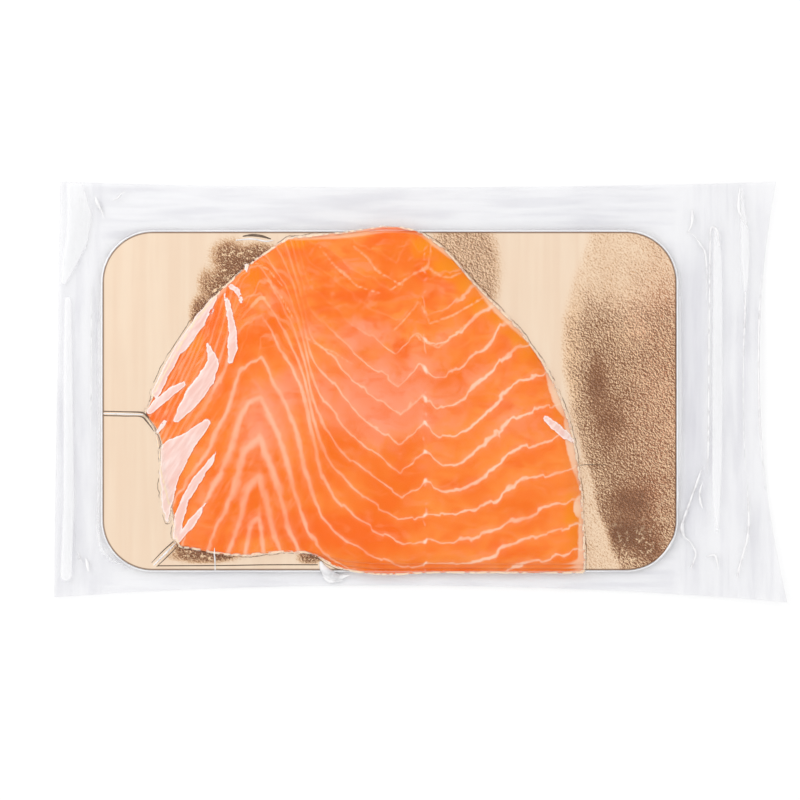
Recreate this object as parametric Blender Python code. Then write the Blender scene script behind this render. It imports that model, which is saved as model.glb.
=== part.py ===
"""A vacuum pack of sliced smoked salmon, as a Blender 4.5 model in metres with +Z up.

The pack lies on its back film with the salmon up. X runs along its length, and the origin is at
the middle of the pouch's underside. From the bottom up it holds the clear pouch, the gold board
and three slices, each a little out of line with the next. Pieces that touch keep a gap of 0.3 mm.
"""

import math

import bmesh
import bpy
from mathutils import Vector

GAP = 0.0003

# Pouch: two clear films, sealed together all round what they hold
POUCH_HALF_LENGTH = 0.1464
POUCH_HALF_WIDTH = 0.0840
FILM_PAIR = 0.0004
POUCH_COLUMNS = 32
POUCH_ROWS = 18
FLAT_BORDER = 0.0060
LIFT_WIDTH = 0.0180
MARGIN_LIFT = 0.0016
MARGIN_WAVE = 0.0450
MARGIN_PHASE_X = 0.8
MARGIN_PHASE_Y = -0.5
TENT_WIDTH = 0.0034
TENT_LIP = 0.0007

# How far each side of the pouch is drawn in at its middle, and how far it leans in at one end
RIGHT_DRAWN = 0.0086
RIGHT_LEAN = 0.0022
LEFT_LEAN = 0.0012
UPPER_DRAWN = 0.0022
LOWER_DRAWN = 0.0056
LOWER_LEAN = 0.0010

# Folds in the film beside the right-hand seal, as (x, lower y, upper y, bow towards the edge)
FOLD_RADIUS = 0.0009
FOLD_STANDS = 0.68
FOLD_TIP = 0.35
FOLD_STEPS = 14
FOLDS = (
    (0.1165, -0.050, 0.052, 0.0016),
    (0.1290, -0.066, 0.066, -0.0012),
)

# Board: gold-faced card with round corners
BOARD_LENGTH = 0.2290
BOARD_WIDTH = 0.1350
BOARD_THICKNESS = 0.0008
BOARD_CORNER = 0.0200
BOARD_CENTRE = Vector((-0.0124, -0.0036))
CORNER_SEGMENTS = 10

# Salmon: three slices cut one after another from a side
SLICE_THICKNESS = 0.0018
SLAB_HALF_LENGTH = 0.0920
SLAB_HALF_WIDTH = 0.0720
SLAB_CENTRE = Vector((-0.0220, -0.0035))
SLAB_COLUMNS = 31
SLAB_ROWS = 24
RIM_SHARE = 0.42
TAPER_RIGHT = 0.0070
TAPER_LEFT = 0.0400
TAPER_TURN = -0.0550
TAPER_BLEND = 0.0300
SWELL = 0.07
SWELL_LENGTH = 0.0340
SWELL_SLOPE = 0.5

# The cut edge of the top slice, clockwise from its upper left. True marks a sharp corner
SLICE_EDGE = (
    (-0.0530, 0.0612, True),
    (-0.0302, 0.0622, False),
    (-0.0082, 0.0638, False),
    (0.0036, 0.0610, False),
    (0.0218, 0.0428, False),
    (0.0458, 0.0160, False),
    (0.0584, -0.0100, False),
    (0.0632, -0.0340, False),
    (0.0654, -0.0686, True),
    (0.0120, -0.0684, False),
    (-0.0300, -0.0674, False),
    (-0.0460, -0.0638, False),
    (-0.0762, -0.0648, False),
    (-0.0958, -0.0612, True),
    (-0.1012, -0.0330, False),
    (-0.1040, -0.0165, False),
    (-0.1094, -0.0088, True),
    (-0.1020, 0.0070, False),
    (-0.0862, 0.0328, False),
    (-0.0690, 0.0500, False),
)

# How each slice lies: its name, how far its lower edge is drawn down, how far its top rises in a
# lobe, and how far its left side stands back
SLICES = (
    ("slice_bottom", 0.0036, 0.0030, 0.0030),
    ("slice_middle", 0.0018, 0.0012, 0.0015),
    ("slice_top", 0.0, 0.0, 0.0),
)
LOBE_CENTRE = -0.0180
LOBE_WIDTH = 0.0150
EDGE_BAND = 0.0600
LOWER_EDGE_STARTS = -0.0400
SLICE_MIDDLE = -0.0150

BOARD_BOTTOM = FILM_PAIR + GAP
BOARD_TOP = BOARD_BOTTOM + BOARD_THICKNESS
STACK_BOTTOM = BOARD_TOP + GAP
CUTTER_TOP = 0.0200
WELD = 0.000001

CLEAR_FILM = ("clear_film", (0.90, 0.92, 0.95), 0.12, 0.0)
GOLD_FOIL = ("gold_foil", (0.86, 0.68, 0.45), 0.25, 1.0)
SALMON_FLESH = ("salmon_flesh", (0.93, 0.30, 0.08), 0.35, 0.0)


def clear_scene():
    for old in list(bpy.data.objects):
        bpy.data.objects.remove(old)


def new_collection(name):
    made = bpy.data.collections.new(name)
    bpy.context.scene.collection.children.link(made)
    return made


def material_of(name, colour, roughness, metallic):
    found = bpy.data.materials.get(name)
    if found:
        return found
    made = bpy.data.materials.new(name)
    made.use_nodes = True
    shader = made.node_tree.nodes["Principled BSDF"]
    shader.inputs["Base Color"].default_value = (*colour, 1.0)
    shader.inputs["Roughness"].default_value = roughness
    shader.inputs["Metallic"].default_value = metallic
    return made


def smooth_step(value):
    share = min(max(value, 0.0), 1.0)
    return share * share * (3.0 - 2.0 * share)


def add_mesh_object(name, mesh, collection):
    made = bpy.data.objects.new(name, mesh)
    collection.objects.link(made)
    return made


def move_to(obj, collection):
    for holder in list(obj.users_collection):
        holder.objects.unlink(obj)
    collection.objects.link(obj)


def curve_as_mesh(curve_object, collection):
    """Turns a curve object into a closed mesh object with the same name and place."""
    bpy.context.view_layer.update()
    name = curve_object.name
    matrix = curve_object.matrix_world.copy()
    graph = bpy.context.evaluated_depsgraph_get()
    mesh = bpy.data.meshes.new_from_object(curve_object.evaluated_get(graph))
    bpy.data.objects.remove(curve_object)
    shape = bmesh.new()
    shape.from_mesh(mesh)
    bmesh.ops.remove_doubles(shape, verts=shape.verts, dist=WELD)
    bmesh.ops.recalc_face_normals(shape, faces=shape.faces)
    shape.to_mesh(mesh)
    shape.free()
    made = add_mesh_object(name, mesh, collection)
    made.matrix_world = matrix
    return made


def outline_curve(name, points, collection, resolution):
    """A closed flat curve through points (x, y, sharp), not yet given a thickness."""
    data = bpy.data.curves.new(name, "CURVE")
    data.dimensions = "2D"
    data.fill_mode = "BOTH"
    data.resolution_u = resolution
    spline = data.splines.new("BEZIER")
    spline.bezier_points.add(len(points) - 1)
    for knot, (x, y, sharp) in zip(spline.bezier_points, points):
        knot.co = (x, y, 0.0)
        handle = "VECTOR" if sharp else "AUTO"
        knot.handle_left_type = handle
        knot.handle_right_type = handle
    spline.use_cyclic_u = True
    made = bpy.data.objects.new(name, data)
    collection.objects.link(made)
    return made


def prism(name, points, low, high, collection, resolution=6):
    """A flat outline given a thickness, from z = low to z = high."""
    made = outline_curve(name, points, collection, resolution)
    made.data.extrude = (high - low) / 2
    made.location.z = (high + low) / 2
    return curve_as_mesh(made, collection)


def rounded_rectangle(length, width, radius, centre):
    """Corner points of a rectangle with round corners, each corner an arc of short chords."""
    points = []
    for turn, (side_x, side_y) in enumerate(((1, 1), (-1, 1), (-1, -1), (1, -1))):
        middle_x = centre.x + side_x * (length / 2 - radius)
        middle_y = centre.y + side_y * (width / 2 - radius)
        for step in range(CORNER_SEGMENTS + 1):
            angle = (turn + step / CORNER_SEGMENTS) * math.pi / 2
            x = middle_x + radius * math.cos(angle)
            y = middle_y + radius * math.sin(angle)
            points.append((x, y, True))
    return points


def distance_from_board(x, y):
    """How far a point is outside the board's edge, and negative inside it."""
    across = abs(x - BOARD_CENTRE.x) - (BOARD_LENGTH / 2 - BOARD_CORNER)
    along = abs(y - BOARD_CENTRE.y) - (BOARD_WIDTH / 2 - BOARD_CORNER)
    outside = math.hypot(max(across, 0.0), max(along, 0.0))
    return outside + min(max(across, along), 0.0) - BOARD_CORNER


def outward_from_board(x, y):
    """The direction straight away from the board's edge at a point outside it."""
    across = abs(x - BOARD_CENTRE.x) - (BOARD_LENGTH / 2 - BOARD_CORNER)
    along = abs(y - BOARD_CENTRE.y) - (BOARD_WIDTH / 2 - BOARD_CORNER)
    away = Vector((max(across, 0.0), max(along, 0.0))).normalized()
    away.x = math.copysign(away.x, x - BOARD_CENTRE.x)
    away.y = math.copysign(away.y, y - BOARD_CENTRE.y)
    return away


def apply_boolean(target, other, operation):
    modifier = target.modifiers.new(operation.lower(), "BOOLEAN")
    modifier.object = other
    modifier.operation = operation
    modifier.solver = "EXACT"
    bpy.context.view_layer.objects.active = target
    bpy.ops.object.modifier_apply(modifier=modifier.name)
    bpy.data.objects.remove(other)


def grid_slab(name, columns, rows, half_length, half_width, centre, collection):
    """A flat slab made of square cells. Its upper and lower vertices are told apart by sign."""
    bpy.ops.mesh.primitive_grid_add(x_subdivisions=columns, y_subdivisions=rows, size=2.0)
    slab = bpy.context.object
    slab.name = name
    slab.data.name = name
    move_to(slab, collection)
    shape = bmesh.new()
    shape.from_mesh(slab.data)
    for vertex in shape.verts:
        vertex.co.x = centre.x + vertex.co.x * half_length
        vertex.co.y = centre.y + vertex.co.y * half_width
        vertex.co.z = 1.0
    bmesh.ops.triangulate(shape, faces=shape.faces[:], quad_method="FIXED")
    lower = bmesh.ops.extrude_face_region(shape, geom=shape.faces[:])["geom"]
    for item in lower:
        if isinstance(item, bmesh.types.BMVert):
            item.co.z = -1.0
    bmesh.ops.recalc_face_normals(shape, faces=shape.faces)
    shape.to_mesh(slab.data)
    shape.free()
    return slab


def set_heights(slab, upper, lower):
    for vertex in slab.data.vertices:
        height = upper if vertex.co.z > 0 else lower
        vertex.co.z = height(vertex.co.x, vertex.co.y)


def margin_height(x, y):
    """How far the film's free border waves up from the table at a point."""
    outward = distance_from_board(x, y) - FLAT_BORDER
    wave_x = math.sin(x / MARGIN_WAVE * math.tau + MARGIN_PHASE_X)
    wave_y = math.cos(y / MARGIN_WAVE * math.pi + MARGIN_PHASE_Y)
    return MARGIN_LIFT * smooth_step(outward / LIFT_WIDTH) * (1 + wave_x * wave_y) / 2


def bow_pouch_edges(slab):
    """Draws the straight sides of the pouch in where vacuum pulls them, and keeps its corners."""
    for vertex in slab.data.vertices:
        u = vertex.co.x / POUCH_HALF_LENGTH
        v = vertex.co.y / POUCH_HALF_WIDTH
        right_edge = RIGHT_DRAWN * (1 - v * v) + RIGHT_LEAN * (1 + v)
        left_edge = LEFT_LEAN * (1 + v)
        upper_edge = UPPER_DRAWN * (1 - u * u)
        lower_edge = LOWER_DRAWN * (1 - u * u) + LOWER_LEAN * (1 - u)
        vertex.co.x -= max(u, 0.0) ** 3 * right_edge
        vertex.co.x += max(-u, 0.0) ** 3 * left_edge
        vertex.co.y -= max(v, 0.0) ** 3 * upper_edge
        vertex.co.y += max(-v, 0.0) ** 3 * lower_edge


def film_fold(index, x, low, high, bow, collection):
    """One pinched fold of film: a low tube, tapered to nothing at its two ends."""
    data = bpy.data.curves.new(f"fold_{index}", "CURVE")
    data.dimensions = "3D"
    data.bevel_depth = FOLD_RADIUS
    data.bevel_resolution = 2
    data.use_fill_caps = True
    spline = data.splines.new("POLY")
    spline.points.add(FOLD_STEPS)
    for step, point in enumerate(spline.points):
        share = step / FOLD_STEPS
        y = low + (high - low) * share
        here = x + bow * math.sin(share * math.pi)
        swelling = FOLD_TIP + (1 - FOLD_TIP) * math.sqrt(max(math.sin(share * math.pi), 0.0))
        film_top = FILM_PAIR + margin_height(here, y)
        point.co = (here, y, film_top + FOLD_RADIUS * swelling * FOLD_STANDS, 1.0)
        point.radius = swelling
    fold = bpy.data.objects.new(f"fold_{index}", data)
    collection.objects.link(fold)
    return curve_as_mesh(fold, collection)


def film_tent(helpers):
    """The slope of film from the board's upper edge down to the flat border, as a low plate."""
    border = TENT_WIDTH + GAP
    points = rounded_rectangle(
        BOARD_LENGTH + 2 * border,
        BOARD_WIDTH + 2 * border,
        BOARD_CORNER + border,
        BOARD_CENTRE,
    )
    tent = prism("tent", points, FILM_PAIR / 2, BOARD_TOP, helpers, resolution=1)
    shape = bmesh.new()
    shape.from_mesh(tent.data)
    for vertex in shape.verts:
        if vertex.co.z > 0:
            inward = outward_from_board(vertex.co.x, vertex.co.y) * (TENT_LIP - TENT_WIDTH)
            vertex.co.x += inward.x
            vertex.co.y += inward.y
    shape.to_mesh(tent.data)
    shape.free()
    return tent


def build_pouch(parts, helpers):
    """The pouch as one solid: back film, border, folds and the slope up to the board's edge."""
    pouch = grid_slab(
        "pouch",
        POUCH_COLUMNS,
        POUCH_ROWS,
        POUCH_HALF_LENGTH,
        POUCH_HALF_WIDTH,
        Vector((0.0, 0.0)),
        parts,
    )
    bow_pouch_edges(pouch)
    set_heights(pouch, lambda x, y: FILM_PAIR + margin_height(x, y), margin_height)
    apply_boolean(pouch, film_tent(helpers), "UNION")
    for index, (x, low, high, bow) in enumerate(FOLDS):
        apply_boolean(pouch, film_fold(index, x, low, high, bow, helpers), "UNION")
    pocket = rounded_rectangle(
        BOARD_LENGTH + 2 * GAP,
        BOARD_WIDTH + 2 * GAP,
        BOARD_CORNER + GAP,
        BOARD_CENTRE,
    )
    cutter = prism("pocket", pocket, FILM_PAIR, CUTTER_TOP, helpers, resolution=1)
    apply_boolean(pouch, cutter, "DIFFERENCE")
    pouch.data.materials.clear()
    pouch.data.materials.append(material_of(*CLEAR_FILM))


def build_board(parts):
    points = rounded_rectangle(BOARD_LENGTH, BOARD_WIDTH, BOARD_CORNER, BOARD_CENTRE)
    board = prism("board", points, BOARD_BOTTOM, BOARD_TOP, parts, resolution=1)
    board.data.materials.append(material_of(*GOLD_FOIL))


def staggered_edge(draw_down, lobe, stand_back):
    """The slice's edge as it shows where this slice lies a little out of line with the top one."""
    points = []
    for x, y, sharp in SLICE_EDGE:
        if y < -EDGE_BAND and x > LOWER_EDGE_STARTS:
            y -= draw_down
        if y > EDGE_BAND:
            y += lobe * math.exp(-(((x - LOBE_CENTRE) / LOBE_WIDTH) ** 2))
        if abs(y) < EDGE_BAND and x < SLICE_MIDDLE:
            x += stand_back
        points.append((x, y, sharp))
    return points


def stack_edge_polygon():
    """The middle slice's edge as straight pieces, which the thickness of the stack follows."""
    return [Vector((x, y)) for x, y, _ in staggered_edge(*SLICES[1][1:])]


def distance_inside(polygon, x, y):
    """How far a point is inside a polygon's edge, and 0 outside it."""
    point = Vector((x, y))
    nearest = 1.0
    inside = False
    for start, end in zip(polygon, polygon[1:] + polygon[:1]):
        side = end - start
        share = min(max((point - start).dot(side) / side.length_squared, 0.0), 1.0)
        nearest = min(nearest, (point - start - side * share).length)
        if (start.y > y) != (end.y > y):
            crossing = start.x + (y - start.y) / (end.y - start.y) * (end.x - start.x)
            inside ^= x < crossing
    return nearest if inside else 0.0


def thickness_share(polygon, x, y):
    """A slice's thickness at a point, as a share of its full one: thin at the rim and the left."""
    to_left = smooth_step((TAPER_TURN + TAPER_BLEND - x) / (2 * TAPER_BLEND))
    taper = TAPER_RIGHT + (TAPER_LEFT - TAPER_RIGHT) * to_left
    rise = math.sin(min(distance_inside(polygon, x, y) / taper, 1.0) * math.pi / 2)
    along = math.sin(x / SWELL_LENGTH * math.pi)
    across = math.sin((y - x * SWELL_SLOPE) / SWELL_LENGTH * math.pi)
    return RIM_SHARE + (1 - RIM_SHARE) * rise * (1 + SWELL * along * across)


def build_slice(level, name, stagger, polygon, parts, helpers):
    slab = grid_slab(
        name,
        SLAB_COLUMNS,
        SLAB_ROWS,
        SLAB_HALF_LENGTH,
        SLAB_HALF_WIDTH,
        SLAB_CENTRE,
        parts,
    )

    def lower(x, y):
        below = SLICE_THICKNESS * thickness_share(polygon, x, y) + GAP
        return STACK_BOTTOM + level * below

    def upper(x, y):
        return lower(x, y) + SLICE_THICKNESS * thickness_share(polygon, x, y)

    set_heights(slab, upper, lower)
    edge = prism(f"{name}_edge", staggered_edge(*stagger), 0.0, CUTTER_TOP, helpers, resolution=4)
    apply_boolean(slab, edge, "INTERSECT")
    slab.data.materials.clear()
    slab.data.materials.append(material_of(*SALMON_FLESH))


def main():
    clear_scene()
    parts = new_collection("smoked_salmon_pack")
    helpers = new_collection("cutters")
    build_pouch(parts, helpers)
    build_board(parts)
    polygon = stack_edge_polygon()
    for level, (name, *stagger) in enumerate(SLICES):
        build_slice(level, name, stagger, polygon, parts, helpers)


main()
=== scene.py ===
"""The looks of a vacuum pack of sliced smoked salmon, in metres with +Z up.

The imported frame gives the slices' edges and the board. Here the slices get their fat lines, the
board its gold foil, and the pouch becomes a clear film drawn down over them.
"""
import math
from contextlib import contextmanager

import bmesh
import bpy
import numpy as np
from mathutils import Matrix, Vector
from mathutils.bvhtree import BVHTree


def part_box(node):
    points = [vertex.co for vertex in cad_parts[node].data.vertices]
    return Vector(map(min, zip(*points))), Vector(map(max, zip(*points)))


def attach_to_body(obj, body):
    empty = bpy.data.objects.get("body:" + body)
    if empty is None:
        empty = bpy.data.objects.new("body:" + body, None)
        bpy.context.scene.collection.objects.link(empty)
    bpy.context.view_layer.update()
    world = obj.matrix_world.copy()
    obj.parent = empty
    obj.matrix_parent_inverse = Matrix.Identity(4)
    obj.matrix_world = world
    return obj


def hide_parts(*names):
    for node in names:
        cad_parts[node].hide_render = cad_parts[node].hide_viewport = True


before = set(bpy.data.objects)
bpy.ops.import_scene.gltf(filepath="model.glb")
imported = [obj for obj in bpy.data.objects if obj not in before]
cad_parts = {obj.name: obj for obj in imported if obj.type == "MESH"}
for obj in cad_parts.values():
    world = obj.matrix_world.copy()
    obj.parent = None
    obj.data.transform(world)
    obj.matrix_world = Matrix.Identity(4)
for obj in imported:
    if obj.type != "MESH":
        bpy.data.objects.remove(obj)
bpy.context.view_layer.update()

MM = 0.001
MERGE = 0.00001

# Slices: how thick, how thin at the rim, and how far the rim tapers, as in the solids, and how
# rounded the rim is and how far the lines stand up
SLICES = ("slice_bottom", "slice_middle", "slice_top")
SLICE_THICKNESS = 1.8 * MM
SLICE_GAP = 0.3 * MM
SLICE_CELL = 0.8 * MM
RIM_SHARE = 0.42
TAPER_RIGHT = 7.0 * MM
TAPER_LEFT = 40.0 * MM
TAPER_TURN = -55.0 * MM
TAPER_BLEND = 30.0 * MM
RIM_ROUND = 0.9 * MM
RIM_SQUARE = 0.55
LINE_RELIEF = 0.05 * MM

# Fat lines: four of the nested lines, each by the same stations from left to right, in
# millimetres. The lines between them are blends. Corners are the stations that stay sharp
CORNERS = (3, 9, 10, 11)
FAT_LINES = {
    -1: (
        (-120.2, -27.2), (-86.2, 36.8), (-71.8, 90.4), (-64.2, 96.8), (-54.6, 80.8), (-48.2, 62.8),
        (-44.6, 52.0), (-37.8, 47.2), (-26.2, 38.0), (-9.4, 28.0), (-2.2, 36.0),
        (2.2, 31.2), (12.6, 35.6), (21.4, 42.0), (31.8, 52.0), (47.8, 64.8),
    ),
    3: (
        (-120.2, -51.2), (-88.2, 16.8), (-73.8, 64.0), (-65.8, 70.8), (-53.8, 52.0), (-47.0, 29.6),
        (-43.0, 13.6), (-36.2, 5.6), (-25.4, -7.2), (-8.6, -21.2), (1.4, -12.4),
        (7.4, -17.8), (15.8, -16.0), (28.2, -5.6), (39.8, 2.4), (67.8, 12.0),
    ),
    7: (
        (-118.2, -51.2), (-83.4, -1.2), (-72.6, 24.4), (-63.0, 30.8), (-55.0, 16.8), (-46.6, 0.0),
        (-42.2, -19.2), (-37.0, -36.4), (-26.2, -49.2), (-7.0, -60.6), (2.6, -58.8),
        (10.6, -59.6), (19.8, -57.6), (29.8, -54.8), (40.6, -50.8), (67.8, -42.4),
    ),
    11: (
        (-90.2, -99.2), (-73.8, -56.0), (-69.0, -38.4), (-64.2, -32.6), (-61.4, -41.2),
        (-59.0, -51.2), (-55.8, -63.2), (-48.2, -79.2), (-30.2, -91.2), (-7.0, -97.2),
        (1.8, -94.4), (11.8, -96.0), (20.6, -94.4), (31.8, -91.2), (43.8, -88.0), (67.8, -83.2),
    ),
}

# The raster of line numbers: its first and last line and the step between them, how far each line
# is kept below the one before, its cell and corners, and how far from its end a reading stops
FIRST_LINE = -5
LAST_LINE = 14
LINE_STEP = 0.25
LINE_FALL = 0.01 * MERGE
CURVE_STEPS = 6
FIELD_CELL = 0.5 * MM
FIELD_LOW = (-125.0 * MM, -78.0 * MM)
FIELD_HIGH = (75.0 * MM, 74.0 * MM)
FIELD_END = 1.001

# Pouch: its outline and waves as in the solid, how tightly the film is drawn down, and how far its
# blisters and seals rise
POUCH_HALF_LENGTH = 146.4 * MM
POUCH_HALF_WIDTH = 84.0 * MM
FILM_PAIR = 0.4 * MM
FILM_CELL = 1.1 * MM
FILM_CLEARANCE = 0.12 * MM
FLAT_BORDER = 6.0 * MM
LIFT_WIDTH = 18.0 * MM
MARGIN_LIFT = 1.6 * MM
MARGIN_WAVE = 45.0 * MM
MARGIN_PHASE_X = 0.8
MARGIN_PHASE_Y = -0.5
RIGHT_DRAWN = 8.6 * MM
RIGHT_LEAN = 2.2 * MM
LEFT_LEAN = 1.2 * MM
UPPER_DRAWN = 2.2 * MM
LOWER_DRAWN = 5.6 * MM
LOWER_LEAN = 1.0 * MM
SUCTION = 0.18 * MM
DRAPE_STEPS = 60
BLISTER_LIFT = 0.5 * MM
SEAL_LIFT = 0.7 * MM

# Blisters: where the film stands off the salmon, lifted a little and painted milky white, a painted highlight
# standing in for the softbox's reflection in its wrinkles. Each is a stroke through points of x, y and half
# width, in millimetres
BLISTERS_AND_GLARE = {
    "edge_band": (
        (-81.8, 37.6, 1.0), (-87.0, 29.6, 2.2), (-91.8, 22.8, 2.4), (-97.0, 16.0, 2.0),
        (-101.4, 8.0, 1.8), (-105.4, 0.0, 2.0),
    ),
    "lobe": ((-82.6, 37.2, 0.8), (-83.0, 27.6, 0.2)),
    "long_streak": (
        (-78.6, 40.4, 0.2), (-76.6, 34.8, 1.0), (-74.6, 24.0, 1.6), (-74.6, 17.6, 1.9),
        (-75.4, 12.4, 1.0),
    ),
    "hook": ((-76.2, 42.4, 0.8), (-73.4, 40.8, 1.2), (-71.0, 35.6, 0.5)),
    "fleck": ((-69.4, 50.4, 1.0), (-69.4, 48.0, 0.5)),
    "cloud": (
        (-85.0, 19.6, 0.3), (-82.2, 12.0, 2.2), (-85.0, 5.2, 3.4), (-89.8, -1.2, 3.6),
        (-93.8, -6.4, 2.6), (-97.0, -11.2, 1.0),
    ),
    "tip": ((-94.6, 2.8, 1.2), (-99.4, 0.0, 1.8), (-103.8, -3.6, 1.8), (-107.8, -7.6, 1.4)),
    "tip_streak": ((-101.8, -11.6, 0.8), (-104.6, -15.6, 0.6)),
    "sail": (
        (-84.6, -12.0, 1.4), (-92.2, -19.2, 3.6), (-97.8, -24.4, 6.0), (-99.8, -32.0, 4.2),
        (-100.6, -38.4, 3.2), (-101.4, -45.6, 2.0), (-101.0, -51.6, 0.6),
    ),
    "ray": (
        (-81.0, -23.2, 0.2), (-83.4, -28.0, 1.0), (-89.4, -35.6, 1.7), (-93.4, -42.4, 1.6),
        (-96.2, -50.4, 1.8), (-97.4, -57.6, 1.2),
    ),
    "petal": ((49.6, -10.4, 0.9), (52.6, -13.2, 1.7), (56.6, -16.4, 1.8), (60.6, -19.6, 0.9)),
    "low_ray": ((-84.2, -42.8, 0.2), (-87.8, -47.6, 1.1), (-91.8, -53.2, 1.5), (-96.2, -58.8, 1.0)),
}

# Faint lines: fat lines of the upper part that cross the regular ones, by the same kind of stroke
FAINT_LINES = (
    ((-40.0, 57.4, 0.1), (-34.6, 50.6, 0.3), (-30.2, 46.8, 0.5), (-25.4, 42.0, 0.2), (-16.2, 39.2, 0.1)),
    ((-26.8, 58.0, 0.1), (-21.2, 53.2, 0.3), (-17.6, 48.2, 0.3), (-7.0, 42.0, 0.1)),
    ((4.4, 59.4, 0.1), (3.0, 50.6, 0.3), (2.4, 49.2, 0.7), (-2.8, 46.8, 0.3), (-12.0, 40.4, 0.1)),
    ((2.8, 49.6, 0.4), (7.2, 46.2, 0.3), (12.0, 45.4, 0.3), (20.4, 49.6, 0.1)),
    ((-1.2, 35.6, 0.3), (-2.4, 33.4, 0.2), (-7.8, 27.2, 0.1), (-10.6, 24.4, 0.1)),
    ((0.2, 35.0, 0.3), (3.6, 27.2, 0.2), (12.0, 30.0, 0.3), (20.6, 34.8, 0.2), (26.2, 38.4, 0.1)),
    ((-1.4, 22.4, 0.5), (0.8, 20.2, 0.3), (7.2, 17.6, 0.3), (12.6, 22.0, 0.2), (22.0, 30.4, 0.1)),
    ((-72.0, 28.6, 0.1), (-64.0, 37.4, 0.7), (-62.4, 37.2, 0.7), (-59.0, 32.2, 0.2)),
    ((-61.4, 45.2, 0.1), (-55.6, 38.2, 0.3), (-50.8, 29.8, 0.1)),
    ((-66.8, 52.0, 0.1), (-60.6, 48.8, 0.2), (-55.2, 42.4, 0.1)),
    ((-46.0, 22.0, 0.1), (-38.6, 17.2, 0.3), (-34.0, 15.6, 0.2), (-27.0, 11.0, 0.1)),
)

# Seals: bands of the border where the two films are pressed together, raised a little and painted whiter, a
# painted highlight on their ridges
SEALS_AND_GLARE = {
    "ridge": (
        (118.2, 64.0, 1.2), (118.6, 52.0, 1.8), (118.8, 24.8, 2.0), (118.7, -3.2, 2.1),
        (118.4, -31.2, 2.0), (118.2, -45.2, 1.5), (118.4, -56.0, 0.5),
    ),
    "seam": (
        (128.2, 80.8, 0.5), (128.8, 70.8, 1.2), (129.6, 62.8, 1.7), (129.7, 53.6, 1.8),
        (129.8, 44.0, 1.0), (129.6, 34.8, 0.4),
    ),
    "board_right": (
        (102.8, 48.8, 0.2), (103.4, 36.8, 0.8), (103.6, -3.2, 1.0), (103.4, -25.2, 0.9),
        (102.8, -43.2, 0.5),
    ),
    "board_left": (
        (-127.8, 40.8, 0.3), (-128.2, 24.8, 0.9), (-128.4, -11.2, 0.8), (-128.8, -43.2, 0.7),
        (-129.1, -55.2, 0.7), (-127.8, -62.8, 0.8), (-123.8, -67.2, 0.7), (-117.4, -70.0, 0.5),
        (-111.8, -71.4, 0.2),
    ),
    "corner_wedge": (
        (-137.8, 80.8, 3.6), (-136.2, 70.8, 4.8), (-137.4, 60.8, 4.4), (-140.2, 52.0, 3.2),
        (-142.6, 44.0, 1.2),
    ),
    "left_band": ((-141.0, 36.8, 1.4), (-140.8, -3.2, 2.0), (-140.6, -43.2, 2.2), (-141.6, -73.2, 2.4)),
}
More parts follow.
